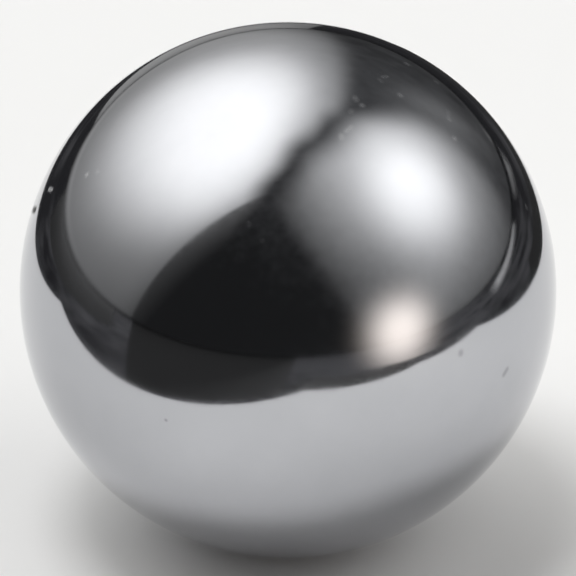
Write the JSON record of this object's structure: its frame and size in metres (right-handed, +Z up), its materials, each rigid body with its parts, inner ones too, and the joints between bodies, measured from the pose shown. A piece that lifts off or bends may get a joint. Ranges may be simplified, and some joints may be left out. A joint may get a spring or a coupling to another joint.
{
  "type": "steel ice ball",
  "caption": "Mirror-polished sealed steel ball that is chilled in a freezer and put in a drink in place of ice.",
  "frame": {"origin": "centre of the ball", "axes": "+Z up, out of the seat that carries the ball; X and Y are level, and the ball is the same about every axis"},
  "size_m": [0.055, 0.055, 0.055],
  "materials": {
    "polished_steel": "mirror-polished steel"
  },
  "bodies": {
    "root": {"ball": "polished_steel"}
  },
  "joints": []
}
